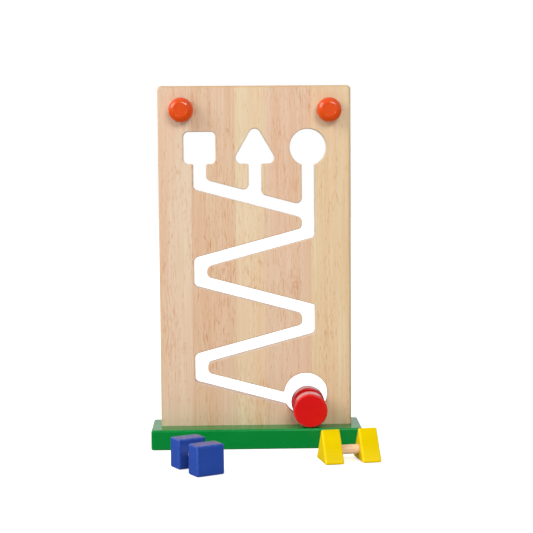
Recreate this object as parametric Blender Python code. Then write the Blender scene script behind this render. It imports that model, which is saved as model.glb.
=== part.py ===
"""Upright shape slide board: a slotted wooden board on a base bar, with three shape dumbbells.

Each dumbbell is two shaped blocks on a dowel. It enters the board through the hole of its own
shape, and its dowel then runs down a zig-zag slot to the round exit above the base bar.
Units are metres. The origin is the centre of the base bar's underside, +Z is up, and the front
of the board faces -Y.
"""

import math

import bmesh
import bpy
from mathutils import Matrix

# Fit between touching pieces
GAP = 0.0003

# Base bar
BASE_LENGTH = 0.230
BASE_DEPTH = 0.066
BASE_HEIGHT = 0.022
BASE_ROUNDING = 0.0022
GROOVE_DEPTH = 0.010

# Board, with heights measured from the base bar's top
BOARD_WIDTH = 0.210
BOARD_THICKNESS = 0.015
BOARD_TOP = 0.3725
BOARD_CORNER_RADIUS = 0.0045
BOARD_EDGE_ROUNDING = 0.003
SLOT_EDGE_ROUNDING = 0.001

# Entry holes
HOLE_FLOOR = 0.288
SQUARE_HOLE = 0.035
SQUARE_HOLE_RADIUS = 0.0055
TRIANGLE_HOLE_SIDE = 0.0515
TRIANGLE_HOLE_RADIUS = 0.0065
ROUND_HOLE_RADIUS = 0.0201
ROUND_HOLE_HEIGHT = 0.3055
ROUND_HOLE_MOUTH_RADIUS = 0.001

# Channels and ramps of the slot
LEFT_CHANNEL_X = -0.0601
MIDDLE_CHANNEL_X = 0.0004
RIGHT_CHANNEL_X = 0.0584
CHANNEL_WIDTH = 0.014
RAMP_WIDTH = 0.0134
RAMP_ANGLE = math.radians(15.0)
RAMP_PITCH = 0.053
TOP_RAMP_HEIGHT = 0.2494
LAST_RAMP = 4
MOUTH_RADIUS = 0.0018
NOSE_RADIUS = 0.006
LEFT_ROOF_RADIUS = 0.0067
RIGHT_ROOF_RADIUS = 0.003
LEFT_FLOOR_RADIUS = 0.0052
RIGHT_FLOOR_RADIUS = 0.0044

# Round exit
EXIT_X = 0.0547
EXIT_HEIGHT = 0.033
EXIT_RADIUS = 0.0242
EXIT_ROOF_RADIUS = 0.0015
EXIT_FLOOR_RADIUS = 0.004

# Screws that hold the board down
SCREW_PLACES = (-0.088, -0.025, 0.025, 0.088)
SCREW_HEAD_RADIUS = 0.004
SCREW_SHANK_RADIUS = 0.002
SCREW_LENGTH = 0.036
SCREW_TIP = 0.004
SCREW_RECESS = 0.0005
SCREW_HOLE_RUNOUT = 0.003

# Knobs and the pins that hold them
KNOB_PLACES = {"left": (-0.0794, 0.3463), "right": (0.0812, 0.3457)}
KNOB_RADIUS = 0.0133
KNOB_LENGTH = 0.014
KNOB_BACK_ROUNDING = 0.001
KNOB_BROW_RADIUS = 0.0094
KNOB_CHEEK_RADIUS = 0.0058
KNOB_RIM_TILT = math.radians(15.0)
KNOB_BROW_TILT = math.radians(45.0)
PIN_RADIUS = 0.003
PIN_DEPTH = 0.009

# Dumbbells
BLOCK_THICKNESS = 0.020
BLOCK_GAP = 0.020
BLOCK_ROUNDING = 0.0018
DOWEL_RADIUS = 0.005
DOWEL_INSERT = 0.012
DISC_RADIUS = 0.0185
CUBE_SIDE = 0.031
PRISM_SIDE = 0.0405
RED_X = 0.0586
BLUE_PLACE = (-0.06304, -0.12878)
BLUE_TURN = math.radians(28.9)
YELLOW_PLACE = (0.09475, -0.09156)
YELLOW_TURN = math.radians(10.4 - 90.0)

ROUND_SEGMENTS = 48
SMALL_SEGMENTS = 24
FILLET_STEP = math.radians(18.0)
KNOB_ARC_STEPS = 3
BEVEL_ANGLE = math.radians(50.0)
SHARP_ANGLE = math.radians(40.0)
ALONG_Y = (math.radians(-90.0), 0.0, 0.0)
TOWARDS_FRONT = (math.radians(90.0), 0.0, 0.0)


def clear_scene():
    for old in list(bpy.data.objects):
        bpy.data.objects.remove(old, do_unlink=True)


def material(name, colour, roughness, metallic=0.0):
    made = bpy.data.materials.new(name)
    made.use_nodes = True
    shader = made.node_tree.nodes["Principled BSDF"]
    shader.inputs["Base Color"].default_value = (*colour, 1.0)
    shader.inputs["Roughness"].default_value = roughness
    shader.inputs["Metallic"].default_value = metallic
    return made


def place(name, mesh, finish, location=(0, 0, 0), rotation=(0, 0, 0), parent=None):
    made = bpy.data.objects.new(name, mesh)
    made.location = location
    made.rotation_euler = rotation
    made.parent = parent
    if finish:
        mesh.materials.append(finish)
    bpy.context.scene.collection.objects.link(made)
    return made


def empty(name, location, turn=0.0):
    made = bpy.data.objects.new(name, None)
    made.location = location
    made.rotation_euler = (0, 0, turn)
    bpy.context.scene.collection.objects.link(made)
    return made


def mesh_from(work, name):
    bmesh.ops.recalc_face_normals(work, faces=work.faces)
    mesh = bpy.data.meshes.new(name)
    work.to_mesh(mesh)
    work.free()
    mesh.shade_smooth()
    mesh.set_sharp_from_angle(angle=SHARP_ANGLE)
    return mesh


def turned_mesh(name, profile, segments):
    """Turn (radius, height) points about Z and cap both ends."""
    work = bmesh.new()
    rings = []
    for radius, height in profile:
        angles = [2.0 * math.pi * step / segments for step in range(segments)]
        ring = [work.verts.new((radius * math.cos(a), radius * math.sin(a), height)) for a in angles]
        rings.append(ring)
    for lower, upper in zip(rings, rings[1:]):
        for step in range(segments):
            after = (step + 1) % segments
            work.faces.new((lower[step], lower[after], upper[after], upper[step]))
    work.faces.new(rings[0])
    work.faces.new(rings[-1])
    return mesh_from(work, name)


def extruded_mesh(name, outline, thickness):
    """Extrude an outline in the XZ plane evenly to both sides of Y = 0."""
    work = bmesh.new()
    front = work.faces.new([work.verts.new((x, -thickness / 2, z)) for x, z in outline])
    moved = bmesh.ops.extrude_face_region(work, geom=[front])["geom"]
    points = [item for item in moved if isinstance(item, bmesh.types.BMVert)]
    bmesh.ops.translate(work, verts=points, vec=(0, thickness, 0))
    return mesh_from(work, name)


def box_mesh(name, size):
    work = bmesh.new()
    bmesh.ops.create_cube(work, size=1.0, matrix=Matrix.Diagonal((*size, 1.0)))
    return mesh_from(work, name)


def filleted(corners):
    """Round each (x, z, radius) corner of a closed outline; a zero radius keeps the point."""
    outline = []
    for index, (x, z, radius) in enumerate(corners):
        if radius == 0.0:
            outline.append((x, z))
            continue
        before = corners[index - 1]
        after = corners[(index + 1) % len(corners)]
        angle_in = math.atan2(before[1] - z, before[0] - x)
        angle_out = math.atan2(after[1] - z, after[0] - x)
        opening = math.remainder(angle_out - angle_in, 2.0 * math.pi)
        reach = radius / math.sin(abs(opening) / 2.0)
        middle = angle_in + opening / 2.0
        centre_x = x + reach * math.cos(middle)
        centre_z = z + reach * math.sin(middle)
        sweep = math.copysign(math.pi - abs(opening), opening)
        start = middle + math.pi + sweep / 2.0
        steps = max(2, math.ceil(abs(sweep) / FILLET_STEP))
        for step in range(steps + 1):
            angle = start - sweep * step / steps
            outline.append((centre_x + radius * math.cos(angle), centre_z + radius * math.sin(angle)))
    return outline


def ramp_wall(level, x, side):
    """Height at x of a ramp's roof (side +1) or floor (side -1); level 0 is the top ramp."""
    slope = math.tan(RAMP_ANGLE) * (1 if level % 2 else -1)
    centre = TOP_RAMP_HEIGHT - RAMP_PITCH * level + slope * x
    return centre + side * RAMP_WIDTH / 2.0 / math.cos(RAMP_ANGLE)


def ramp_corner(level, x, side, radius):
    return (x, ramp_wall(level, x, side), radius)


def round_hole_corners():
    """The arc of the round entry hole, from one wall of its channel over the top to the other."""
    half = math.asin(CHANNEL_WIDTH / 2.0 / ROUND_HOLE_RADIUS)
    start = -math.pi / 2.0 - half
    sweep = 2.0 * math.pi - 2.0 * half
    return arc_corners(RIGHT_CHANNEL_X, ROUND_HOLE_HEIGHT, ROUND_HOLE_RADIUS, start, sweep,
                       ROUND_HOLE_MOUTH_RADIUS, ROUND_HOLE_MOUTH_RADIUS)


def exit_meeting(side):
    """The angle on the exit circle where the last ramp's roof or floor runs into it."""
    slope = -math.tan(RAMP_ANGLE)
    drop = ramp_wall(LAST_RAMP, EXIT_X, side) - EXIT_HEIGHT
    square = 1.0 + slope * slope
    root = math.sqrt(square * EXIT_RADIUS**2 - drop**2)
    along = (-drop * slope - root) / square
    return math.atan2(drop + slope * along, along)


def exit_corners():
    """The exit circle, from the last ramp's roof over the top and round to its floor."""
    start = exit_meeting(1)
    sweep = (start - exit_meeting(-1)) % (2.0 * math.pi)
    return arc_corners(EXIT_X, EXIT_HEIGHT, EXIT_RADIUS, start, sweep, EXIT_ROOF_RADIUS, EXIT_FLOOR_RADIUS)


def arc_corners(x, z, radius, start, sweep, first_radius, last_radius):
    """Points clockwise along an arc, with a fillet where it meets the walls at either end."""
    steps = round(ROUND_SEGMENTS * sweep / (2.0 * math.pi))
    angles = [start - sweep * step / steps for step in range(steps + 1)]
    corners = [(x + radius * math.cos(a), z + radius * math.sin(a), 0.0) for a in angles]
    corners[0] = (*corners[0][:2], first_radius)
    corners[-1] = (*corners[-1][:2], last_radius)
    return corners


def slot_corners():
    """The whole cut-out, clockwise from the square hole's top left corner."""
    half = CHANNEL_WIDTH / 2.0
    square = SQUARE_HOLE / 2.0
    left_out, left_in = LEFT_CHANNEL_X - half, LEFT_CHANNEL_X + half
    middle_left, middle_right = MIDDLE_CHANNEL_X - half, MIDDLE_CHANNEL_X + half
    right_in, right_out = RIGHT_CHANNEL_X - half, RIGHT_CHANNEL_X + half
    triangle = TRIANGLE_HOLE_SIDE / 2.0
    apex = HOLE_FLOOR + triangle * math.sqrt(3.0)
    square_top = HOLE_FLOOR + SQUARE_HOLE
    return [
        (LEFT_CHANNEL_X - square, square_top, SQUARE_HOLE_RADIUS),
        (LEFT_CHANNEL_X + square, square_top, SQUARE_HOLE_RADIUS),
        (LEFT_CHANNEL_X + square, HOLE_FLOOR, SQUARE_HOLE_RADIUS),
        (left_in, HOLE_FLOOR, MOUTH_RADIUS),
        ramp_corner(0, left_in, 1, NOSE_RADIUS),
        ramp_corner(0, middle_left, 1, NOSE_RADIUS),
        (middle_left, HOLE_FLOOR, MOUTH_RADIUS),
        (MIDDLE_CHANNEL_X - triangle, HOLE_FLOOR, TRIANGLE_HOLE_RADIUS),
        (MIDDLE_CHANNEL_X, apex, TRIANGLE_HOLE_RADIUS),
        (MIDDLE_CHANNEL_X + triangle, HOLE_FLOOR, TRIANGLE_HOLE_RADIUS),
        (middle_right, HOLE_FLOOR, MOUTH_RADIUS),
        ramp_corner(0, middle_right, 1, NOSE_RADIUS),
        ramp_corner(0, right_in, 1, NOSE_RADIUS),
        *round_hole_corners(),
        ramp_corner(1, right_out, -1, RIGHT_FLOOR_RADIUS),
        ramp_corner(1, left_in, -1, NOSE_RADIUS),
        ramp_corner(2, left_in, 1, NOSE_RADIUS),
        ramp_corner(2, right_out, 1, RIGHT_ROOF_RADIUS),
        ramp_corner(3, right_out, -1, RIGHT_FLOOR_RADIUS),
        ramp_corner(3, left_in, -1, NOSE_RADIUS),
        ramp_corner(LAST_RAMP, left_in, 1, NOSE_RADIUS),
        *exit_corners(),
        ramp_corner(LAST_RAMP, left_out, -1, LEFT_FLOOR_RADIUS),
        ramp_corner(3, left_out, 1, LEFT_ROOF_RADIUS),
        ramp_corner(3, right_in, 1, NOSE_RADIUS),
        ramp_corner(2, right_in, -1, NOSE_RADIUS),
        ramp_corner(2, left_out, -1, LEFT_FLOOR_RADIUS),
        ramp_corner(1, left_out, 1, LEFT_ROOF_RADIUS),
        ramp_corner(1, right_in, 1, NOSE_RADIUS),
        ramp_corner(0, right_in, -1, NOSE_RADIUS),
        ramp_corner(0, left_out, -1, LEFT_FLOOR_RADIUS),
        (left_out, HOLE_FLOOR, MOUTH_RADIUS),
        (LEFT_CHANNEL_X - square, HOLE_FLOOR, SQUARE_HOLE_RADIUS),
    ]


def cut(target, cutter):
    cutter.hide_render = True
    cutter.display_type = "WIRE"
    boolean = target.modifiers.new("cut_" + cutter.name, "BOOLEAN")
    boolean.operation = "DIFFERENCE"
    boolean.solver = "EXACT"
    boolean.object = cutter


def round_edges(target, width, segments):
    bevel = target.modifiers.new("round_edges", "BEVEL")
    bevel.width = width
    bevel.segments = segments
    bevel.limit_method = "ANGLE"
    bevel.angle_limit = BEVEL_ANGLE


def screw_profile(grow):
    """Countersunk screw from its head up; grow widens it into the hole that it sits in."""
    cone = SCREW_HEAD_RADIUS - SCREW_SHANK_RADIUS
    foot = -SCREW_HOLE_RUNOUT if grow else SCREW_RECESS
    return [
        (SCREW_HEAD_RADIUS + grow, foot),
        (SCREW_HEAD_RADIUS + grow, SCREW_RECESS + grow),
        (SCREW_SHANK_RADIUS + grow, SCREW_RECESS + grow + cone),
        (SCREW_SHANK_RADIUS + grow, SCREW_LENGTH - SCREW_TIP + grow),
        (SCREW_SHANK_RADIUS / 4.0 + grow, SCREW_LENGTH + grow),
    ]


def make_screws(steel, base, board):
    hole = turned_mesh("screw_hole", screw_profile(GAP), SMALL_SEGMENTS)
    for number, x in enumerate(SCREW_PLACES, start=1):
        mesh = turned_mesh(f"base_screw_{number}", screw_profile(0.0), SMALL_SEGMENTS)
        place(f"base_screw_{number}", mesh, steel, (x, 0, 0))
        cutter = place(f"screw_hole_{number}", hole, None, (x, 0, 0))
        cut(base, cutter)
        cut(board, cutter)


def make_base(wood):
    base = place("base_bar", box_mesh("base_bar", (BASE_LENGTH, BASE_DEPTH, BASE_HEIGHT)), wood,
                 (0, 0, BASE_HEIGHT / 2.0))
    round_edges(base, BASE_ROUNDING, 3)
    groove_size = (BOARD_WIDTH + 2 * GAP, BOARD_THICKNESS + 2 * GAP, 2 * (GROOVE_DEPTH + GAP))
    cut(base, place("board_groove", box_mesh("board_groove", groove_size), None, (0, 0, BASE_HEIGHT)))
    return base


def make_board(wood):
    side = BOARD_WIDTH / 2.0
    radius = BOARD_CORNER_RADIUS
    outer = [(-side, -GROOVE_DEPTH, 0.0), (side, -GROOVE_DEPTH, 0.0),
             (side, BOARD_TOP, radius), (-side, BOARD_TOP, radius)]
    board = place("maze_board", extruded_mesh("maze_board", filleted(outer), BOARD_THICKNESS), wood,
                  (0, 0, BASE_HEIGHT))
    round_edges(board, BOARD_EDGE_ROUNDING, 2)
    slot = extruded_mesh("slot", filleted(slot_corners()), 3 * BOARD_THICKNESS)
    cut(board, place("slot", slot, None, (0, 0, BASE_HEIGHT)))
    return board


def knob_profile():
    """Side of a knob from its back: a straight cheek, then two arcs in to the rim of its flat face."""
    points = [(KNOB_RADIUS - KNOB_BACK_ROUNDING, 0.0), (KNOB_RADIUS, KNOB_BACK_ROUNDING)]
    arcs = ((KNOB_CHEEK_RADIUS, math.radians(90.0), KNOB_BROW_TILT),
            (KNOB_BROW_RADIUS, KNOB_BROW_TILT, KNOB_RIM_TILT))
    rise = sum(radius * (math.cos(end) - math.cos(start)) for radius, start, end in arcs)
    out, height = KNOB_RADIUS, KNOB_LENGTH - rise
    for radius, start, end in arcs:
        for step in range(KNOB_ARC_STEPS):
            tilt = start + (end - start) * step / KNOB_ARC_STEPS
            points.append((out - radius * (math.sin(start) - math.sin(tilt)),
                           height + radius * (math.cos(tilt) - math.cos(start))))
        out -= radius * (math.sin(start) - math.sin(end))
        height += radius * (math.cos(end) - math.cos(start))
    return points + [(out, height)]


def make_knobs(orange, wood, board):
    pin = [(PIN_RADIUS, -PIN_DEPTH), (PIN_RADIUS, PIN_DEPTH)]
    bore = [(PIN_RADIUS + GAP, -PIN_DEPTH - GAP), (PIN_RADIUS + GAP, PIN_DEPTH + GAP)]
    for side, (x, height) in KNOB_PLACES.items():
        face = (x, -BOARD_THICKNESS / 2.0, BASE_HEIGHT + height)
        front = (x, face[1] - GAP, face[2])
        knob = place(f"{side}_knob", turned_mesh(f"{side}_knob", knob_profile(), ROUND_SEGMENTS), orange,
                     front, TOWARDS_FRONT)
        place(f"{side}_knob_pin", turned_mesh(f"{side}_knob_pin", pin, SMALL_SEGMENTS), wood,
              face, TOWARDS_FRONT)
        bore_mesh = turned_mesh(f"{side}_pin_bore", bore, SMALL_SEGMENTS)
        cutter = place(f"{side}_pin_bore", bore_mesh, None, face, TOWARDS_FRONT)
        cut(knob, cutter)
        cut(board, cutter)


def bored_block(name, mesh, finish, parent, y):
    """A dumbbell's end block at y along its dowel, with a blind bore on its inner side."""
    block = place(name, mesh, finish, (0, y, 0), parent=parent)
    round_edges(block, BLOCK_ROUNDING, 3)
    inner = -math.copysign(BLOCK_THICKNESS / 2.0, y)
    depth = DOWEL_INSERT + GAP
    bore = turned_mesh(name + "_bore", [(DOWEL_RADIUS + GAP, -depth), (DOWEL_RADIUS + GAP, depth)],
                       SMALL_SEGMENTS)
    cut(block, place(name + "_bore", bore, None, (0, y + inner, 0), ALONG_Y, parent))


def dowel_mesh(name):
    half = BLOCK_GAP / 2.0 + DOWEL_INSERT
    return turned_mesh(name, [(DOWEL_RADIUS, -half), (DOWEL_RADIUS, half)], SMALL_SEGMENTS)


def disc_mesh(name):
    step = 2.0 * math.pi / ROUND_SEGMENTS
    outline = [(DISC_RADIUS * math.cos(step * i), DISC_RADIUS * math.sin(step * i))
               for i in range(ROUND_SEGMENTS)]
    return extruded_mesh(name, outline, BLOCK_THICKNESS)


def cube_mesh(name):
    return box_mesh(name, (CUBE_SIDE, BLOCK_THICKNESS, CUBE_SIDE))


def prism_mesh(name):
    """A three-sided block whose dowel runs through the middle of the triangle."""
    reach = PRISM_SIDE / math.sqrt(3.0)
    corners = [(0.0, reach, BLOCK_ROUNDING), (PRISM_SIDE / 2.0, -reach / 2.0, BLOCK_ROUNDING),
               (-PRISM_SIDE / 2.0, -reach / 2.0, BLOCK_ROUNDING)]
    return extruded_mesh(name, filleted(corners), BLOCK_THICKNESS)


def make_dumbbell(colour, ends, make_mesh, finish, wood, centre, turn):
    """Two blocks on a dowel along the empty's own Y; ends names the -Y block, then the +Y one."""
    axis = empty(f"{colour}_axis", centre, turn)
    place(f"{colour}_dowel", dowel_mesh(f"{colour}_dowel"), wood, (0, 0, 0), ALONG_Y, axis)
    reach = (BLOCK_GAP + BLOCK_THICKNESS) / 2.0
    for end, y in zip(ends, (-reach, reach)):
        bored_block(f"{colour}_{end}", make_mesh(f"{colour}_{end}"), finish, axis, y)


def main():
    clear_scene()
    wood = material("board_wood", (0.74, 0.53, 0.35), 0.5)
    dowel_wood = material("dowel_wood", (0.76, 0.57, 0.37), 0.55)
    steel = material("screw_steel", (0.62, 0.62, 0.60), 0.35, metallic=1.0)
    orange = material("orange_lacquer", (0.79, 0.12, 0.012), 0.15)
    red = material("red_lacquer", (0.60, 0.012, 0.010), 0.15)
    blue = material("blue_lacquer", (0.022, 0.055, 0.30), 0.15)
    yellow = material("yellow_lacquer", (0.86, 0.68, 0.006), 0.15)
    green = material("green_lacquer", (0.006, 0.20, 0.035), 0.15)
    base = make_base(green)
    board = make_board(wood)
    make_screws(steel, base, board)
    make_knobs(orange, dowel_wood, board)
    round_edges(board, SLOT_EDGE_ROUNDING, 1)
    make_dumbbell("red", ("front_disc", "rear_disc"), disc_mesh, red, dowel_wood,
                  (RED_X, 0, BASE_HEIGHT + DISC_RADIUS + GAP), 0.0)
    make_dumbbell("blue", ("front_block", "rear_block"), cube_mesh, blue, dowel_wood,
                  (*BLUE_PLACE, CUBE_SIDE / 2.0), BLUE_TURN)
    make_dumbbell("yellow", ("left_prism", "right_prism"), prism_mesh, yellow, dowel_wood,
                  (*YELLOW_PLACE, PRISM_SIDE / 2.0 / math.sqrt(3.0)), YELLOW_TURN)


main()
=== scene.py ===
"""Looks of the upright shape slide board: a staved wooden board on a lacquered base bar, two turned
knobs, and three dumbbells of lacquered blocks on bare dowels. Everything is in metres, +Z up."""

import math

import bmesh
import bpy
import numpy as np
from bpy.props import FloatProperty, FloatVectorProperty, IntProperty, PointerProperty
from mathutils import Matrix, Vector


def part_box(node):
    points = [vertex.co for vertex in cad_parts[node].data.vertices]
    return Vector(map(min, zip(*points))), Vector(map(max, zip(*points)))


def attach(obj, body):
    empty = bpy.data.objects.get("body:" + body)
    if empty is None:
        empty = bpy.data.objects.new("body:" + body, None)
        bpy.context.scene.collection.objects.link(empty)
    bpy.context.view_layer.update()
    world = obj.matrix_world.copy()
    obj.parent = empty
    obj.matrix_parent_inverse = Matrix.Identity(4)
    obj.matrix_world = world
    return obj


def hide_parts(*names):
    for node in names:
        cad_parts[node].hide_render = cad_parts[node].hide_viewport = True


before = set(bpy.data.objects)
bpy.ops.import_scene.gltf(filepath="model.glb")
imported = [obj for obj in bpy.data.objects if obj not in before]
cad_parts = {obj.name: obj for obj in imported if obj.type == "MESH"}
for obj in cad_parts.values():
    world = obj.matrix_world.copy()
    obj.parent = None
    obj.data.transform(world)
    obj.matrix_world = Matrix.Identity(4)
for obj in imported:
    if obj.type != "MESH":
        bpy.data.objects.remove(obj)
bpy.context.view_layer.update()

bl_info = {
    "name": "Shape Slide Board",
    "version": (1, 0, 0),
    "blender": (4, 5, 0),
    "location": "View3D > Sidebar > Slide Board",
    "description": "Builds the wooden shape slide board, its dumbbells and a plain stage",
    "category": "Object",
}

BLOCKS = {
    "red": ("red_front_disc", "red_rear_disc"),
    "blue": ("blue_front_block", "blue_rear_block"),
    "yellow": ("yellow_left_prism", "yellow_right_prism"),
}
SIDES = ("left", "right")
SCREWS = ("base_screw_1", "base_screw_2", "base_screw_3", "base_screw_4")
SAME_POINT = 1.0e-6
SUPPORT = 0.0003  # width of the flat ring beside a round, and a free fit in a bore
PIN_PLAY = SUPPORT / 3.0
SCREW_PLAY = SUPPORT / 2.0
SHARP_ANGLE = math.radians(38.0)
RIGHT, FORWARD, UP = Vector((1.0, 0.0, 0.0)), Vector((0.0, -1.0, 0.0)), Vector((0.0, 0.0, 1.0))
QUARTER = math.radians(90.0)
WHITE = (1.0, 1.0, 1.0, 1.0)


# ---------------------------------------------------------------- settings

def colour_property(name, description, default):
    return FloatVectorProperty(name=name, description=description, default=default, size=3,
                               min=0.0, max=1.0, subtype="COLOR")


def length_property(name, description, default):
    return FloatProperty(name=name, description=description, default=default, min=0.0,
                         subtype="DISTANCE", unit="LENGTH", precision=5)


def angle_property(name, description, default):
    return FloatProperty(name=name, description=description, default=default, subtype="ANGLE")


def share_property(name, description, default):
    return FloatProperty(name=name, description=description, default=default, min=0.0, max=1.0)


def strength_property(name, description, default):
    return FloatProperty(name=name, description=description, default=default, min=0.0)


class BoardSettings(bpy.types.PropertyGroup):
    edge_rounding: length_property("Edge rounding", "Radius on the board's outer arrises", 0.0028)
    slot_rounding: length_property("Slot rounding", "Radius on the slot's arrises", 0.0009)
    pore_colour: colour_property("Pores", "Stain in the open pores and knots", (0.83, 0.585, 0.43))
    end_colour: colour_property("End grain", "Colour of the end grain and rubbed arrises",
                                (0.58, 0.37, 0.20))
    cut_colour: colour_property("Cut walls", "Colour of the sawn walls of the slot", (0.76, 0.65, 0.58))
    roughness: share_property("Roughness", "Roughness of the satin varnish", 0.42)


class LacquerSettings(bpy.types.PropertyGroup):
    rounding: length_property("Rounding", "Radius on the arrises of the lacquered blocks", 0.0018)
    base_rounding: length_property("Base rounding", "Radius on the base bar's arrises", 0.0022)
    green: colour_property("Green", "Base bar", (0.0022, 0.215, 0.034))
    red: colour_property("Red", "Round blocks", (0.64, 0.0075, 0.0075))
    blue: colour_property("Blue", "Square blocks", (0.022, 0.068, 0.355))
    yellow: colour_property("Yellow", "Three-sided blocks", (0.80, 0.570, 0.0))
    orange: colour_property("Orange", "Knobs", (0.71, 0.070, 0.004))
    roughness: share_property("Roughness", "Roughness of the gloss lacquer", 0.14)


class TurnedSettings(bpy.types.PropertyGroup):
    segments: IntProperty(name="Segments", description="Sides of a turned piece", default=64, min=12)
    knob_back: length_property("Knob back", "Radius of the round at a knob's back", 0.001)
    knob_brow: length_property("Knob brow", "Radius of the arc next to a knob's flat face", 0.0094)
    knob_cheek: length_property("Knob cheek", "Radius of the arc down to a knob's side", 0.0058)
    knob_bead: length_property("Knob bead", "Radius of the fine bead round a knob's flat face", 0.0006)
    knob_rim_tilt: angle_property("Knob rim tilt", "Tilt of the brow at the flat face's rim",
                                  math.radians(15.0))
    knob_brow_tilt: angle_property("Knob brow tilt", "Tilt where the brow meets the cheek",
                                   math.radians(45.0))
    dowel_chamfer: length_property("Dowel chamfer", "Broken edge at a dowel's ends", 0.0006)
    dowel_colour: colour_property("Dowel", "Bare sanded wood of the dowels", (0.96, 0.79, 0.56))


class ScrewSettings(bpy.types.PropertyGroup):
    pitch: length_property("Thread pitch", "Rise of the thread in one turn", 0.0018)
    thread: length_property("Thread height", "Height of the thread's ridge", 0.0005)
    cross_width: length_property("Cross width", "Width of the cross recess's arms", 0.0011)
    cross_span: length_property("Cross span", "Length of the cross recess's arms", 0.0046)
    cross_depth: length_property("Cross depth", "Depth of the cross recess", 0.0019)


class StageSettings(bpy.types.PropertyGroup):
    camera_place: FloatVectorProperty(name="Camera", description="Where the camera stands", size=3,
                                      default=(-0.02722, -1.47529, 0.31107), subtype="TRANSLATION")
    yaw: angle_property("Yaw", "Camera's turn to the right", 0.0268)
    pitch: angle_property("Pitch", "Camera's tilt down", 0.0772)
    roll: angle_property("Roll", "Camera's roll", 0.0073)
    lens: FloatProperty(name="Lens", description="Focal length in millimetres", default=90.78, min=1.0)
    front_glow: strength_property("Front glow", "Strength of the surroundings in front", 0.22)
    back_glow: strength_property("Back glow", "Strength of the surroundings behind", 0.80)
    front_gloss: strength_property("Front gloss", "Strength in front that gloss mirrors", 0.45)
    back_gloss: strength_property("Back gloss", "Strength behind that gloss mirrors", 0.95)
    low_gloss: share_property("Low gloss", "Share of that strength below the horizon", 0.10)
    key_power: strength_property("Key softbox", "Power of the key softbox in watts", 630.0)
    side_power: strength_property("Side softbox", "Power of the left softbox in watts", 685.0)


class SlideBoardSettings(bpy.types.PropertyGroup):
    board: PointerProperty(type=BoardSettings)
    lacquer: PointerProperty(type=LacquerSettings)
    turned: PointerProperty(type=TurnedSettings)
    screws: PointerProperty(type=ScrewSettings)
    stage: PointerProperty(type=StageSettings)


# ---------------------------------------------------------------- node helpers

def add(tree, kind, sockets=None, **settings):
    """Add a node, set its attributes, and link or set its input sockets."""
    node = tree.nodes.new(kind)
    for name, value in settings.items():
        setattr(node, name, value)
    for key, value in (sockets or {}).items():
        if isinstance(value, bpy.types.NodeSocket):
            tree.links.new(value, node.inputs[key])
        else:
            node.inputs[key].default_value = value
    return node


def maths(tree, operation, first, second=0.0, clamp=False):
    return add(tree, "ShaderNodeMath", {0: first, 1: second}, operation=operation,
               use_clamp=clamp).outputs[0]


def vector_maths(tree, operation, first, second):
    return add(tree, "ShaderNodeVectorMath", {0: first, 1: second}, operation=operation).outputs[0]


def blended(tree, factor, first, second):
    """Mix two colours; ShaderNodeMix keeps its colour sockets at 6 and 7 in, 2 out."""
    return add(tree, "ShaderNodeMix", {0: factor, 6: first, 7: second}, data_type="RGBA").outputs[2]


def spread(tree, value, low, high, new_low=0.0, new_high=1.0):
    """Take the range from low to high to the range from new_low to new_high, clamped."""
    return add(tree, "ShaderNodeMapRange", {0: value, 1: low, 2: high, 3: new_low, 4: new_high}).outputs[0]


def stretched_noise(tree, coordinates, scale, detail, roughness=0.5):
    """Noise with scale cells in each metre along X, Y and Z."""
    scaled = vector_maths(tree, "MULTIPLY", coordinates, scale)
    return add(tree, "ShaderNodeTexNoise", {"Vector": scaled, "Scale": 1.0, "Detail": detail,
                                            "Roughness": roughness}).outputs["Fac"]


def opaque(colour):
    return (*colour, 1.0)


def new_group(name, kind, given, results):
    """A node group with the named inputs (name, socket type, default) and outputs (name, type).

    Returns the group, the sockets that its inputs arrive on, and the node that its outputs leave by.
    """
    group = bpy.data.node_groups.new(name, kind)
    for label, socket_type, default in given:
        socket = group.interface.new_socket(label, in_out="INPUT", socket_type=socket_type)
        if default is not None:
            socket.default_value = default
    for label, socket_type in results:
        group.interface.new_socket(label, in_out="OUTPUT", socket_type=socket_type)
    return group, group.nodes.new("NodeGroupInput").outputs, group.nodes.new("NodeGroupOutput")


def send(tree, target, values):
    """Link values to a node's named inputs."""
    for name, value in values.items():
        tree.links.new(value, target.inputs[name])


def placed_group(tree, name, sockets, kind="ShaderNodeGroup"):
    """Place a shared group in a tree, with its own input values."""
    return add(tree, kind, sockets, node_tree=bpy.data.node_groups[name])


def new_material(name):
    """A material with a Principled shader; returns the material, its tree and the shader."""
    made = bpy.data.materials.new(name)
    made.use_nodes = True
    tree = made.node_tree
    return made, tree, tree.nodes["Principled BSDF"]


# ---------------------------------------------------------------- shared effects

SEED_STEP = (0.37, 0.61, 0.23)  # how far one step of the seed moves the figure
GRAIN_SWAY = 0.012
PORE_STRENGTH = 0.85


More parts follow.
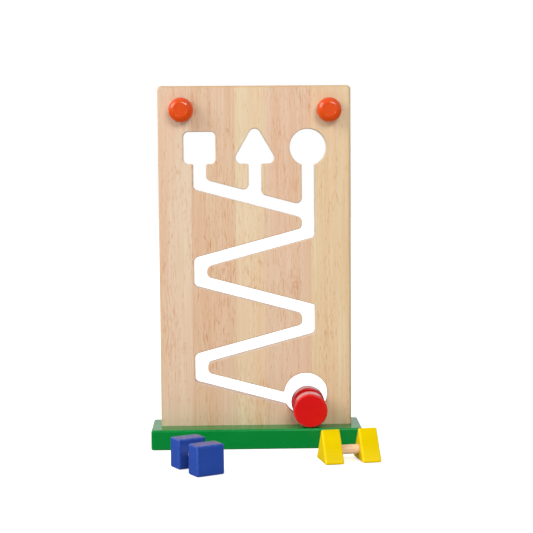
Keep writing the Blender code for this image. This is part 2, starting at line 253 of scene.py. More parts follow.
def build_wood_figure():
    """Straight-grained rubberwood along Z: broad tone and hue, fine fibres, and short open pores."""
    group, given, result = new_group(
        "wood_figure", "ShaderNodeTree",
        [("Vector", "NodeSocketVector", None), ("Seed", "NodeSocketFloat", 0.0)],
        [("Tone", "NodeSocketFloat"), ("Hue", "NodeSocketFloat"), ("Fibre", "NodeSocketFloat"),
         ("Pores", "NodeSocketFloat"), ("Height", "NodeSocketFloat")])
    offset = vector_maths(group, "MULTIPLY", given["Seed"], SEED_STEP)
    place = vector_maths(group, "ADD", given["Vector"], offset)
    sway = stretched_noise(group, place, (9.0, 9.0, 5.0), 1.0)
    sway = maths(group, "MULTIPLY", maths(group, "SUBTRACT", sway, 0.5), GRAIN_SWAY)
    swayed = vector_maths(group, "ADD", place, add(group, "ShaderNodeCombineXYZ", {0: sway}).outputs[0])
    hue = stretched_noise(group, swayed, (52.0, 52.0, 4.5), 2.0)
    broad = stretched_noise(group, swayed, (120.0, 120.0, 3.0), 3.0, 0.55)
    fine = stretched_noise(group, swayed, (700.0, 700.0, 13.0), 3.0, 0.65)
    pore_noise = stretched_noise(group, swayed, (1300.0, 1300.0, 105.0), 1.0)
    patches = stretched_noise(group, swayed, (60.0, 60.0, 9.0), 2.0)
    limit = spread(group, patches, 0.36, 0.68, 0.695, 0.530)  # pores are dense in some patches
    pores = spread(group, maths(group, "SUBTRACT", pore_noise, limit), 0.0, 0.11)
    height = maths(group, "SUBTRACT", maths(group, "MULTIPLY", fine, 0.35), pores)
    send(group, result, {"Tone": spread(group, broad, 0.32, 0.68), "Hue": spread(group, hue, 0.36, 0.64),
                         "Fibre": spread(group, fine, 0.3, 0.7),
                         "Pores": maths(group, "MULTIPLY", pores, PORE_STRENGTH), "Height": height})


def build_rubbed_edges():
    """Where an arris has been rubbed, which on the lacquers also carries a painted highlight: the arris mask,
    broken up by noise.
    """
    group, given, result = new_group(
        "rubbed_edges", "ShaderNodeTree",
        [("Vector", "NodeSocketVector", None), ("Arris", "NodeSocketFloat", 0.0),
         ("Amount", "NodeSocketFloat", 0.5)],
        [("Mask", "NodeSocketFloat")])
    breaks = stretched_noise(group, given["Vector"], (260.0, 260.0, 260.0), 3.0, 0.65)
    broken = spread(group, breaks, 0.35, 0.65)
    mask = maths(group, "MULTIPLY", given["Arris"], broken)
    send(group, result, {"Mask": maths(group, "MULTIPLY", mask, given["Amount"], clamp=True)})


SCUFF_ROUGHNESS = 0.10
RUBBED_ROUGHNESS = 0.12


def build_lacquer_skin():
    """Gloss lacquer on wood: wood grain along Z that shows through, soft ripple, nibs and scuffs."""
    group, given, result = new_group(
        "lacquer_skin", "ShaderNodeTree",
        [("Vector", "NodeSocketVector", None), ("Colour", "NodeSocketColor", None),
         ("Thin", "NodeSocketColor", None), ("Rubbed", "NodeSocketFloat", 0.0),
         ("Roughness", "NodeSocketFloat", 0.13)],
        [("Colour", "NodeSocketColor"), ("Roughness", "NodeSocketFloat"), ("Height", "NodeSocketFloat")])
    place = given["Vector"]
    clouds = stretched_noise(group, place, (60.0, 60.0, 25.0), 3.0)
    grain = stretched_noise(group, place, (800.0, 800.0, 35.0), 3.0, 0.6)
    ripple = stretched_noise(group, place, (210.0, 210.0, 120.0), 2.0)
    nibs = spread(group, stretched_noise(group, place, (900.0, 900.0, 900.0), 0.0), 0.74, 0.80)
    scuffs = spread(group, stretched_noise(group, place, (1500.0, 60.0, 240.0), 2.0), 0.60, 0.75)
    shade = maths(group, "MULTIPLY", spread(group, clouds, 0.3, 0.7, 0.97, 1.03),
                  spread(group, grain, 0.3, 0.7, 0.98, 1.02))
    tinted = add(group, "ShaderNodeVectorMath", {0: given["Colour"], "Scale": shade},
                 operation="SCALE").outputs[0]
    # The paler colour on rubbed arrises is partly thin lacquer and partly a painted highlight
    colour = blended(group, given["Rubbed"], tinted, given["Thin"])
    rough = maths(group, "MULTIPLY", spread(group, clouds, 0.3, 0.7, 0.85, 1.2), given["Roughness"])
    rough = maths(group, "ADD", rough, maths(group, "MULTIPLY", scuffs, SCUFF_ROUGHNESS))
    worn = maths(group, "MULTIPLY", given["Rubbed"], RUBBED_ROUGHNESS)
    rough = maths(group, "ADD", rough, worn)
    height = maths(group, "ADD", maths(group, "MULTIPLY", ripple, 0.6), nibs)
    height = maths(group, "ADD", height, maths(group, "MULTIPLY", grain, 0.12))
    send(group, result, {"Colour": colour, "Roughness": rough, "Height": height})


# ---------------------------------------------------------------- materials

def object_coordinates(tree):
    return add(tree, "ShaderNodeTexCoord").outputs["Object"]


def attribute(tree, name):
    return add(tree, "ShaderNodeAttribute", attribute_name=name).outputs["Fac"]


def bump(tree, height, distance):
    return add(tree, "ShaderNodeBump", {"Height": height, "Distance": distance,
                                        "Strength": 1.0}).outputs["Normal"]


def along_grain(tree, axis):
    """Object coordinates turned so that the wood's grain, which runs along axis, lies along Z."""
    turn = Vector(axis).rotation_difference(UP).to_euler()
    return add(tree, "ShaderNodeMapping", {"Vector": object_coordinates(tree), "Rotation": turn}).outputs[0]


# Paler colours for the arrises: thin lacquer there, and a painted highlight
THIN_LACQUER_AND_HIGHLIGHT = {
    "green": (0.010, 0.30, 0.075), "red": (0.78, 0.06, 0.05), "blue": (0.06, 0.12, 0.46),
    "yellow": (0.92, 0.72, 0.03), "orange": (0.90, 0.22, 0.06),
}
LACQUER_GLOSS = {"green": 0.17, "red": 0.22, "blue": 0.22, "yellow": 0.03, "orange": 0.42}
LACQUER_RUBBED_AND_HIGHLIGHT = 0.55
LACQUER_RELIEF = 0.00003


def lacquer_material(colour, settings, grain):
    """Gloss lacquer, with a paler colour on the arrises: partly lacquer pulled away from them, partly a
    painted highlight.
    """
    made, tree, shader = new_material(f"{colour}_lacquer_on_wood")
    place = along_grain(tree, grain)
    # rubbed marks the arrises that get the paler colour, partly thin lacquer and partly a painted highlight
    rubbed = placed_group(tree, "rubbed_edges", {"Vector": place, "Arris": attribute(tree, "arris"),
                                                 "Amount": LACQUER_RUBBED_AND_HIGHLIGHT}).outputs["Mask"]
    skin = placed_group(tree, "lacquer_skin", {
        "Vector": place, "Colour": opaque(getattr(settings, colour)),
        "Thin": opaque(THIN_LACQUER_AND_HIGHLIGHT[colour]), "Rubbed": rubbed, "Roughness": settings.roughness})
    send(tree, shader, {"Base Color": skin.outputs["Colour"], "Roughness": skin.outputs["Roughness"],
                        "Normal": bump(tree, skin.outputs["Height"], LACQUER_RELIEF)})
    shader.inputs["Specular IOR Level"].default_value = LACQUER_GLOSS[colour]
    return made


STAVE_EDGES = (-0.069, -0.0215, 0.0104, 0.061)
STAVE_TINTS = (
    (0.790, 0.645, 0.500), (0.778, 0.652, 0.504), (0.790, 0.660, 0.462), (0.766, 0.600, 0.452),
    (0.776, 0.636, 0.425),
)
BOLD_STAVE = 1.0  # the second stave from the left
PLAIN_FIGURE, BOLD_FIGURE = 0.88, 1.45
GLUE_LINE = (0.00008, 0.00028)  # its full and its fading half width
KNOTS = (  # across, height, half width and half height of each
    (0.0430, 0.1775, 0.0075, 0.0100), (0.0445, 0.2870, 0.0040, 0.0055), (-0.0790, 0.108, 0.003, 0.006),
)
KNOT_RINGS = 9.0
KNOT_WAVER = 1.1
WOOD_STAINS = {"Hue": (1.000, 0.895, 0.870), "Tone": (0.950, 0.880, 0.800), "Fibre": (0.930, 0.850, 0.765)}


def stave_number(tree, across):
    """How many glue lines lie to the left of a point, and a mask of the glue lines themselves."""
    number = 0.0
    nearest = 1.0
    for edge in STAVE_EDGES:
        number = maths(tree, "ADD", maths(tree, "GREATER_THAN", across, edge), number)
        away = maths(tree, "ABSOLUTE", maths(tree, "SUBTRACT", across, edge))
        nearest = maths(tree, "MINIMUM", away, nearest)
    return number, spread(tree, nearest, *GLUE_LINE, 1.0, 0.0)


def stave_tint(tree, number):
    """The colour of each stave, as hard steps along a ramp."""
    count = len(STAVE_TINTS)
    factor = maths(tree, "DIVIDE", maths(tree, "ADD", number, 0.5), count)
    node = add(tree, "ShaderNodeValToRGB", {0: factor})
    node.color_ramp.interpolation = "CONSTANT"
    stops = node.color_ramp.elements
    while len(stops) < count:
        stops.new(1.0)
    for index, tint in enumerate(STAVE_TINTS):
        stops[index].position = index / count
        stops[index].color = opaque(tint)
    return node.outputs["Color"]


def wood_colour(tree, tint, figure, pore_stain, boldness=1.0):
    """Stain a tint where the wood figure's hue, tone, fibres and pores lie."""
    colour = tint
    for mask, stain in {**WOOD_STAINS, "Pores": pore_stain}.items():
        stained = vector_maths(tree, "MULTIPLY", colour, stain)
        colour = blended(tree, maths(tree, "MULTIPLY", figure.outputs[mask], boldness), colour, stained)
    return colour


def knot_mask(tree, place):
    """Faint rings of cathedral grain round each of the small knots."""
    spot = add(tree, "ShaderNodeSeparateXYZ", {0: place})
    waver = maths(tree, "MULTIPLY", stretched_noise(tree, place, (160.0, 160.0, 90.0), 2.0), KNOT_WAVER)
    mask = 0.0
    for x, z, half_width, half_height in KNOTS:
        across = maths(tree, "DIVIDE", maths(tree, "SUBTRACT", spot.outputs["X"], x), half_width)
        along = maths(tree, "DIVIDE", maths(tree, "SUBTRACT", spot.outputs["Z"], z), half_height)
        squared = maths(tree, "ADD", maths(tree, "MULTIPLY", across, across),
                        maths(tree, "MULTIPLY", along, along))
        away = maths(tree, "ADD", maths(tree, "SQRT", squared), waver)
        wave = maths(tree, "SINE", maths(tree, "MULTIPLY", away, KNOT_RINGS))
        rings = spread(tree, wave, -1.0, 1.0, 0.15, 1.0)
        near = maths(tree, "POWER", spread(tree, away, 0.5, 2.6, 1.0, 0.0), 1.5)
        mask = maths(tree, "MAXIMUM", maths(tree, "MULTIPLY", rings, near), mask)
    return mask


BOARD_MASKS = {"knots": 0.70, "glue": 0.30, "end_grain": 0.75, "cut": 0.6, "rubbed": 0.20}
# Painted shade along the board's edges: a darker tint, and how strongly it lies on the arrises and on the
# left and right sides
EDGE_SHADE_TINT = (0.90, 0.85, 0.75)
ARRIS_SHADE = 0.8
SIDE_SHADE_BAND = (0.0985, 0.1035)  # from the middle line, where painted shade darkens the board's sides
SIDE_SHADE = 0.5
OPEN_ROUGHNESS = 0.2  # what open pores and sawn walls add
BOARD_RELIEF = 0.000015


def laid_on(tree, colour, name, mask, top):
    """Lay a colour on the board's where a mask lies, as strongly as BOARD_MASKS says."""
    return blended(tree, maths(tree, "MULTIPLY", mask, BOARD_MASKS[name]), colour, top)


def board_material(settings):
    made, tree, shader = new_material("staved_rubberwood")
    place = object_coordinates(tree)
    across = add(tree, "ShaderNodeSeparateXYZ", {0: place}).outputs["X"]
    number, glue = stave_number(tree, across)
    figure = placed_group(tree, "wood_figure", {"Vector": place, "Seed": number})
    bold_stave = maths(tree, "COMPARE", number, BOLD_STAVE)
    boldness = spread(tree, bold_stave, 0.0, 1.0, PLAIN_FIGURE, BOLD_FIGURE)
    colour = wood_colour(tree, stave_tint(tree, number), figure, settings.pore_colour, boldness)
    end_colour = opaque(settings.end_colour)
    darker = vector_maths(tree, "MULTIPLY", colour, settings.pore_colour)
    colour = laid_on(tree, colour, "knots", knot_mask(tree, place), darker)
    colour = laid_on(tree, colour, "glue", glue, darker)
    colour = laid_on(tree, colour, "end_grain", attribute(tree, "end_grain"), end_colour)
    arris = attribute(tree, "arris")
    # Painted shade: a darker tint on the rounded arrises and in a band along the board's left and right sides
    side_shade = spread(tree, maths(tree, "ABSOLUTE", across), *SIDE_SHADE_BAND, 0.0, SIDE_SHADE)
    edge_shade = maths(tree, "MAXIMUM", maths(tree, "MULTIPLY", arris, ARRIS_SHADE), side_shade)
    colour = blended(tree, edge_shade, colour, vector_maths(tree, "MULTIPLY", colour, EDGE_SHADE_TINT))
    cut = attribute(tree, "cut")
    colour = laid_on(tree, colour, "cut", cut, opaque(settings.cut_colour))
    rubbed = placed_group(tree, "rubbed_edges", {"Vector": place, "Arris": arris,
                                                 "Amount": BOARD_MASKS["rubbed"]}).outputs["Mask"]
    colour = blended(tree, rubbed, colour, end_colour)
    rough = maths(tree, "MULTIPLY", maths(tree, "ADD", figure.outputs["Pores"], cut), OPEN_ROUGHNESS)
    send(tree, shader, {"Base Color": colour, "Roughness": maths(tree, "ADD", settings.roughness, rough),
                        "Normal": bump(tree, figure.outputs["Height"], BOARD_RELIEF)})
    return made


DOWEL_SEED = 7.0
DOWEL_RELIEF = 0.00008


def dowel_material(name, colour, pore_colour, axis):
    """Bare sanded dowel wood; its grain runs along the dowel's own axis."""
    made, tree, shader = new_material(name)
    figure = placed_group(tree, "wood_figure", {"Vector": along_grain(tree, axis), "Seed": DOWEL_SEED})
    tint = add(tree, "ShaderNodeRGB").outputs[0]
    tint.default_value = opaque(colour)
    send(tree, shader, {"Base Color": wood_colour(tree, tint, figure, pore_colour),
                        "Roughness": spread(tree, figure.outputs["Fibre"], 0.0, 1.0, 0.50, 0.68),
                        "Normal": bump(tree, figure.outputs["Height"], DOWEL_RELIEF)})
    return made


ZINC, YELLOW_BLOOM = (0.62, 0.63, 0.64, 1.0), (0.60, 0.56, 0.44, 1.0)
ZINC_RELIEF = 0.00002


def steel_material():
    """Bright zinc plate with a faint yellow bloom and handling marks."""
    made, tree, shader = new_material("zinc_plate")
    place = object_coordinates(tree)
    bloom = stretched_noise(tree, place, (300.0, 300.0, 300.0), 3.0)
    marks = stretched_noise(tree, place, (1800.0, 900.0, 900.0), 2.0)
    send(tree, shader, {"Base Color": blended(tree, spread(tree, bloom, 0.4, 0.65), ZINC, YELLOW_BLOOM),
                        "Roughness": spread(tree, marks, 0.3, 0.7, 0.22, 0.42),
                        "Normal": bump(tree, marks, ZINC_RELIEF)})
    shader.inputs["Metallic"].default_value = 1.0
    return made


# ---------------------------------------------------------------- mesh helpers

def axes_matrix(across, up, centre):
    """A matrix that puts local X along across, local Y along up and the origin at centre."""
    across, up = Vector(across).normalized(), Vector(up).normalized()
    through = across.cross(up)
    turn = Matrix((across, up, through)).transposed().to_4x4()
    return Matrix.Translation(centre) @ turn


def middle_of(node):
    low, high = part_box(node)
    return (low + high) / 2.0


def size_of(node):
    low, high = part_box(node)
    return high - low


def section_loops(node, place):
    """The closed outlines where place's local XY plane cuts a CAD node, largest area first."""
    work = bmesh.new()
    work.from_mesh(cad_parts[node].data)
    bmesh.ops.transform(work, matrix=place.inverted(), verts=work.verts)
    bmesh.ops.remove_doubles(work, verts=work.verts, dist=SAME_POINT)
    everything = work.verts[:] + work.edges[:] + work.faces[:]
    bmesh.ops.bisect_plane(work, geom=everything, dist=SAME_POINT / 10.0, plane_co=(0, 0, 0),
                           plane_no=(0, 0, 1), clear_inner=True, clear_outer=True)
    bmesh.ops.remove_doubles(work, verts=work.verts, dist=SAME_POINT)
    unseen = dict.fromkeys(work.verts)  # keeps its order, so that every run starts at the same point
    loops = []
    while unseen:
        vertex = next(iter(unseen))
        loop = []
        while vertex in unseen:
            del unseen[vertex]
            loop.append((vertex.co.x, vertex.co.y))
            ahead = [edge.other_vert(vertex) for edge in vertex.link_edges]
            vertex = next((other for other in ahead if other in unseen), vertex)
        loops.append(straightened(np.array(loop)))
    work.free()
    return sorted(loops, key=lambda loop: abs(signed_area(loop)), reverse=True)


def turning(loop):
    """The turn of the outline at each point, in radians."""
    ahead = np.roll(loop, -1, axis=0) - loop
    angle = np.arctan2(ahead[:, 1], ahead[:, 0])
    turn = angle - np.roll(angle, 1)
    return (turn + math.pi) % (2.0 * math.pi) - math.pi


STRAIGHT = math.radians(0.6)
ARC_BEND = (math.radians(2.0), math.radians(35.0))  # least and most turn from chord to chord
SAME_CHORD = 0.03


def straightened(loop):
    """Drop the points that lie on straight stretches."""
    return loop[np.abs(turning(loop)) > STRAIGHT]


def smoothed_arcs(loop):
    """Put a new point in the middle of each chord of an arc, out on the arc itself."""
    ahead = np.roll(loop, -1, axis=0) - loop
    length = np.linalg.norm(ahead, axis=1)
    turn = turning(loop)
    points = []
    for index, point in enumerate(loop):
        after = (index + 1) % len(loop)
        points.append(point)
        chord = length[index]
        same_before = abs(length[index - 1] - chord) < SAME_CHORD * chord
        same_after = abs(length[after] - chord) < SAME_CHORD * chord
        bend = turn[index] if same_before else turn[after] if same_after else 0.0
        if ARC_BEND[0] < abs(bend) < ARC_BEND[1]:
            out = np.array((ahead[index][1], -ahead[index][0]))
            points.append(point + ahead[index] / 2.0 + out / 2.0 * math.tan(bend / 4.0))
    return np.array(points)


def signed_area(loop):
    after = np.roll(loop, -1, axis=0)
    return float((loop[:, 0] * after[:, 1] - loop[:, 1] * after[:, 0]).sum() / 2.0)


def inset(loop, distance):
    """Move an outline to its left by distance, with mitred corners."""
    ahead = np.roll(loop, -1, axis=0) - loop
    ahead /= np.linalg.norm(ahead, axis=1)[:, None]
    left = np.column_stack((-ahead[:, 1], ahead[:, 0]))
    before = np.roll(left, 1, axis=0)
    mitre = (left + before) / (1.0 + (left * before).sum(axis=1))[:, None]
    return loop + mitre * distance


ROUND_STEPS = 5


def rounded_slab(name, loops, thickness, roundings, place):
    """A slab between outlines in place's XY plane, with rounded arrises.

    The first loop is its outside and the others are holes. Each rounding has a narrow flat ring
    beside it, which keeps the shading of the flat faces flat. The attributes arris, cut and
    end_grain mark the rounds, the holes' walls and the walls that lie across the grain.
    """
    work = bmesh.new()
    arris = work.verts.layers.float.new("arris")
    cut = work.verts.layers.float.new("cut")
    end_grain = work.verts.layers.float.new("end_grain")
    rims = []
    for index, (loop, radius) in enumerate(zip(loops, roundings)):
        outermost = index == 0
        loop = loop if (signed_area(loop) > 0.0) == outermost else loop[::-1]
        half = thickness / 2.0
        side = [(radius + SUPPORT, half, 0.0)]
        for step in range(ROUND_STEPS + 1):
            angle = QUARTER * step / ROUND_STEPS
            on_edge = 1.0 if 0 < step < ROUND_STEPS else 0.5
            side.append((radius * (1.0 - math.sin(angle)), half - radius * (1.0 - math.cos(angle)), on_edge))
        side.append((0.0, half - radius - SUPPORT, 0.0))
        section = side + [(distance, -height, on_edge) for distance, height, on_edge in reversed(side)]
        outward = inset(loop, 1.0) - loop
        upright = np.abs(outward[:, 1]) / np.linalg.norm(outward, axis=1)
        rings = []
        for distance, height, on_edge in section:
            ring = [work.verts.new((x, y, height)) for x, y in inset(loop, distance)]
            share = max(0.0, 1.0 - distance / radius)
            for vertex, across_grain in zip(ring, upright):
                vertex[arris] = on_edge
                vertex[cut] = 0.0 if outermost or distance > radius / 2.0 else 1.0
                vertex[end_grain] = share * across_grain
            rings.append(ring)
        for upper, lower in zip(rings, rings[1:]):
            for step in range(len(loop)):
                after = (step + 1) % len(loop)
                work.faces.new((upper[step], upper[after], lower[after], lower[step]))
        rims.append((rings[0], rings[-1]))
    for face_side in (0, 1):
        edges = []
        for rim in rims:
            ring = rim[face_side]
            edges += [work.edges.get((ring[step], ring[step - 1])) for step in range(len(ring))]
        bmesh.ops.triangle_fill(work, use_beauty=True, edges=edges)
    bmesh.ops.recalc_face_normals(work, faces=work.faces)
    bmesh.ops.transform(work, matrix=place, verts=work.verts)
    return mesh_object(work, name)


def mesh_object(work, name):
    mesh = bpy.data.meshes.new(name)
    work.to_mesh(mesh)
    work.free()
    mesh.shade_smooth()
    return linked_object(name, mesh)


def linked_object(name, mesh):
    made = bpy.data.objects.new(name, mesh)
    bpy.context.scene.collection.objects.link(made)
    return made


BORE_SEGMENTS = 64


def cylinder_cutter(radius, depth, place):
    """A temporary cylinder along place's local Z, centred on it."""
    work = bmesh.new()
    bmesh.ops.create_cone(work, cap_ends=True, segments=BORE_SEGMENTS, radius1=radius, radius2=radius,
                          depth=depth, matrix=place)
    return mesh_object(work, "cutter")


def box_cutter(size, centre):
    work = bmesh.new()
    bmesh.ops.create_cube(work, size=1.0, matrix=Matrix.Translation(centre) @ Matrix.Diagonal((*size, 1.0)))
    return mesh_object(work, "cutter")


def carve(piece, cutters):
    """Cut the cutters out of a piece for good, and remove them."""
    for cutter in cutters:
        boolean = piece.modifiers.new("carve", "BOOLEAN")
        boolean.operation = "DIFFERENCE"
        boolean.solver = "EXACT"
        boolean.object = cutter
    applied(piece)
    cleaned = bmesh.new()
    cleaned.from_mesh(piece.data)
    bmesh.ops.remove_doubles(cleaned, verts=cleaned.verts, dist=SAME_POINT)
    cleaned.to_mesh(piece.data)
    cleaned.free()
    for cutter in cutters:
        mesh = cutter.data
        bpy.data.objects.remove(cutter)
        bpy.data.meshes.remove(mesh)
    piece.data.set_sharp_from_angle(angle=SHARP_ANGLE)


def applied(piece):
    """Turn a piece's modifiers into its mesh."""
    evaluated = piece.evaluated_get(bpy.context.evaluated_depsgraph_get())
    mesh = bpy.data.meshes.new_from_object(evaluated)
    piece.modifiers.clear()
    old = piece.data
    piece.data = mesh
    mesh.name = piece.name
    bpy.data.meshes.remove(old)
    return piece


def body_of(colour, blocks=False):
    """The body that a dumbbell's dowel or blocks ride on; only the red blocks turn on their own."""
    if colour != "red":
        return f"{colour}_dumbbell"
    return "red_ends" if blocks else "red_axle"


def finish_piece(piece, material, body, nodes):
    """Give a piece its material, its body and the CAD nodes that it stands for."""
    piece.data.materials.clear()
    piece.data.materials.append(material)
    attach(piece, body)
    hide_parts(*nodes)


# ---------------------------------------------------------------- geometry node trees

def build_turned_tree():
    """Turn the input's outline, points of (radius, 0, height), about Z, then put it in place."""
    tree, given, result = new_group(
        "turned_piece", "GeometryNodeTree",
        [("Outline", "NodeSocketGeometry", None), ("Points", "NodeSocketInt", 2),
         ("Segments", "NodeSocketInt", 64), ("Place", "NodeSocketVector", None),
         ("Turn", "NodeSocketRotation", None), ("Finish", "NodeSocketMaterial", None)],
        [("Geometry", "NodeSocketGeometry")])
    points = given["Points"]
    columns = maths(tree, "ADD", given["Segments"], 1.0)
    sheet = add(tree, "GeometryNodeMeshGrid", {"Size X": 1.0, "Size Y": 1.0, "Vertices X": columns,
                                               "Vertices Y": points}).outputs["Mesh"]
    spot = add(tree, "ShaderNodeSeparateXYZ", {0: add(tree, "GeometryNodeInputPosition").outputs[0]})
    angle = maths(tree, "MULTIPLY", maths(tree, "ADD", spot.outputs["X"], 0.5), 2.0 * math.pi)
    row = maths(tree, "MULTIPLY", maths(tree, "ADD", spot.outputs["Y"], 0.5),
                maths(tree, "SUBTRACT", points, 1.0))
    sample = add(tree, "GeometryNodeSampleIndex", {
        "Geometry": given["Outline"], "Value": add(tree, "GeometryNodeInputPosition").outputs[0],
        "Index": maths(tree, "ROUND", row)}, data_type="FLOAT_VECTOR")
    traced = add(tree, "ShaderNodeSeparateXYZ", {0: sample.outputs["Value"]})
    radius = traced.outputs["X"]
    turned = add(tree, "ShaderNodeCombineXYZ", {
        0: maths(tree, "MULTIPLY", radius, maths(tree, "COSINE", angle)),
        1: maths(tree, "MULTIPLY", radius, maths(tree, "SINE", angle)),
        2: traced.outputs["Z"]}).outputs[0]
    shaped = add(tree, "GeometryNodeSetPosition", {"Geometry": sheet, "Position": turned}).outputs[0]
    closed = add(tree, "GeometryNodeMergeByDistance", {"Geometry": shaped, "Distance": SAME_POINT}).outputs[0]
    put = add(tree, "GeometryNodeTransform", {"Geometry": closed, "Translation": given["Place"],
                                              "Rotation": given["Turn"]}).outputs[0]
    smooth = add(tree, "GeometryNodeSetShadeSmooth", {"Geometry": put}).outputs[0]
    whole = add(tree, "GeometryNodeRealizeInstances", {"Geometry": smooth}).outputs[0]
    finished = add(tree, "GeometryNodeSetMaterial", {"Geometry": whole,
                                                     "Material": given["Finish"]}).outputs[0]
    send(tree, result, {"Geometry": finished})


STEPS_PER_TURN = 24
RIDGE_SIDES = 4


def build_screw_tree():
    """Countersunk screws: a turned blank with a cross recess and a thread, at each place."""
    tree, given, result = new_group(
        "countersunk_screws", "GeometryNodeTree",
        [("Outline", "NodeSocketGeometry", None), ("Points", "NodeSocketInt", 2),
         ("Segments", "NodeSocketInt", 48), ("Places", "NodeSocketObject", None),
         ("Shank Radius", "NodeSocketFloat", 0.002), ("Thread Start", "NodeSocketFloat", 0.01),
         ("Thread Length", "NodeSocketFloat", 0.02), ("Pitch", "NodeSocketFloat", 0.0018),
         ("Thread Height", "NodeSocketFloat", 0.0005), ("Cross Width", "NodeSocketFloat", 0.001),
         ("Cross Span", "NodeSocketFloat", 0.004), ("Cross Depth", "NodeSocketFloat", 0.002),
         ("Finish", "NodeSocketMaterial", None)],
        [("Geometry", "NodeSocketGeometry")])
    shared = {name: given[name] for name in ("Outline", "Points", "Segments", "Finish")}
    blank = placed_group(tree, "turned_piece", shared, "GeometryNodeGroup")
    arms = []
    twice_depth = maths(tree, "MULTIPLY", given["Cross Depth"], 2.0)
    for width, span in (("Cross Width", "Cross Span"), ("Cross Span", "Cross Width")):
        size = add(tree, "ShaderNodeCombineXYZ", {0: given[width], 1: given[span],
                                                  2: twice_depth}).outputs[0]
        arms.append(add(tree, "GeometryNodeMeshCube", {"Size": size}).outputs["Mesh"])
    cross = add(tree, "GeometryNodeMeshBoolean", {"Mesh 1": blank.outputs[0]}, operation="DIFFERENCE",
                solver="EXACT")
    for arm in arms:
        tree.links.new(arm, cross.inputs["Mesh 2"])
    turns = maths(tree, "DIVIDE", given["Thread Length"], given["Pitch"])
    helix = add(tree, "GeometryNodeCurveSpiral", {
        "Resolution": STEPS_PER_TURN, "Rotations": turns, "Start Radius": given["Shank Radius"],
        "End Radius": given["Shank Radius"], "Height": given["Thread Length"]}).outputs[0]
    ridge = add(tree, "GeometryNodeCurvePrimitiveCircle", {
        "Resolution": RIDGE_SIDES, "Radius": given["Thread Height"]}, mode="RADIUS").outputs["Curve"]
    thread = add(tree, "GeometryNodeCurveToMesh", {"Curve": helix, "Profile Curve": ridge,
                                                   "Fill Caps": True}).outputs[0]
    lift = add(tree, "ShaderNodeCombineXYZ", {2: given["Thread Start"]}).outputs[0]
    lifted = add(tree, "GeometryNodeTransform", {"Geometry": thread, "Translation": lift}).outputs[0]
    crossed = add(tree, "GeometryNodeMergeByDistance", {"Geometry": cross.outputs["Mesh"],
                                                        "Distance": SAME_POINT}).outputs[0]
    joined = add(tree, "GeometryNodeJoinGeometry")
    tree.links.new(lifted, joined.inputs[0])
    tree.links.new(crossed, joined.inputs[0])
    places = add(tree, "GeometryNodeObjectInfo", {"Object": given["Places"]}).outputs["Geometry"]
    copies = add(tree, "GeometryNodeInstanceOnPoints", {"Points": places,
                                                        "Instance": joined.outputs[0]}).outputs[0]
    whole = add(tree, "GeometryNodeRealizeInstances", {"Geometry": copies}).outputs[0]
    finished = add(tree, "GeometryNodeSetMaterial", {"Geometry": whole,
                                                     "Material": given["Finish"]}).outputs[0]
    send(tree, result, {"Geometry": finished})


def outline_object(name, outline):
    """The polyline of (radius, height) points that a turned piece is made from."""
    mesh = bpy.data.meshes.new(name)
    mesh.from_pydata([(radius, 0.0, height) for radius, height in outline],
                     [(index, index + 1) for index in range(len(outline) - 1)], [])
    return linked_object(name, mesh)


def run_tree(piece, tree_name, values):
    """Run a geometry node tree on a piece with the named input values, and keep the result."""
    tree = bpy.data.node_groups[tree_name]
    modifier = piece.modifiers.new(tree_name, "NODES")
    modifier.node_group = tree
    for item in tree.interface.items_tree:
        if item.in_out == "INPUT" and item.name in values:
            modifier[item.identifier] = values[item.name]
    applied(piece)
    work = bmesh.new()
    work.from_mesh(piece.data)
    bmesh.ops.recalc_face_normals(work, faces=work.faces)
    work.to_mesh(piece.data)
    work.free()
    piece.data.set_sharp_from_angle(angle=SHARP_ANGLE)
    return piece


def turned_piece(name, outline, place, axis, finish, segments):
    """A piece turned about an axis, from its outline of (radius, distance along the axis)."""
    turn = UP.rotation_difference(Vector(axis)).to_euler()
    return run_tree(outline_object(name, outline), "turned_piece", {
        "Points": len(outline), "Segments": segments, "Place": tuple(place), "Turn": tuple(turn),
        "Finish": finish})


# ---------------------------------------------------------------- operators

class PieceOperator:
    bl_options = {"REGISTER", "UNDO"}


class SLIDEBOARD_OT_effects(PieceOperator, bpy.types.Operator):
    """Build the shader groups and the geometry node trees that the pieces share"""
    bl_idname = "slide_board.effects"
    bl_label = "Shared Effects"

    def execute(self, context):
        build_wood_figure()
        build_rubbed_edges()
        build_lacquer_skin()
        build_turned_tree()
        build_screw_tree()
        return {"FINISHED"}


class SLIDEBOARD_OT_board(PieceOperator, bpy.types.Operator):
    """Build the staved board with its entry holes, zig-zag slot and round exit"""
    bl_idname = "slide_board.board"
    bl_label = "Board"

    def execute(self, context):
        settings = context.scene.slide_board.board
        thickness = size_of("maze_board").y
        middle = middle_of("maze_board")
        clear_of_bores = Vector((0.0, thickness / 4.0, 0.0))
        loops = section_loops("maze_board", axes_matrix(RIGHT, UP, middle + clear_of_bores))
        if len(loops) != 2:
            raise RuntimeError(f"the board's section has {len(loops)} outlines, not an outside and a slot")
        loops = [smoothed_arcs(loop) for loop in loops]
        board = rounded_slab("staved_board", loops, thickness,
                             (settings.edge_rounding, settings.slot_rounding),
                             axes_matrix(RIGHT, UP, middle))
        carve(board, [pin_cutter(side) for side in SIDES])
        finish_piece(board, board_material(settings), "stand", ["maze_board"])
        return {"FINISHED"}


def pin_cutter(side):
    """The bore for a knob's pin, a hair wider and longer than the pin."""
    pin = f"{side}_knob_pin"
    size = size_of(pin)
    return cylinder_cutter(size.z / 2.0 + PIN_PLAY, size.y + SUPPORT,
                           axes_matrix(RIGHT, UP, middle_of(pin)))


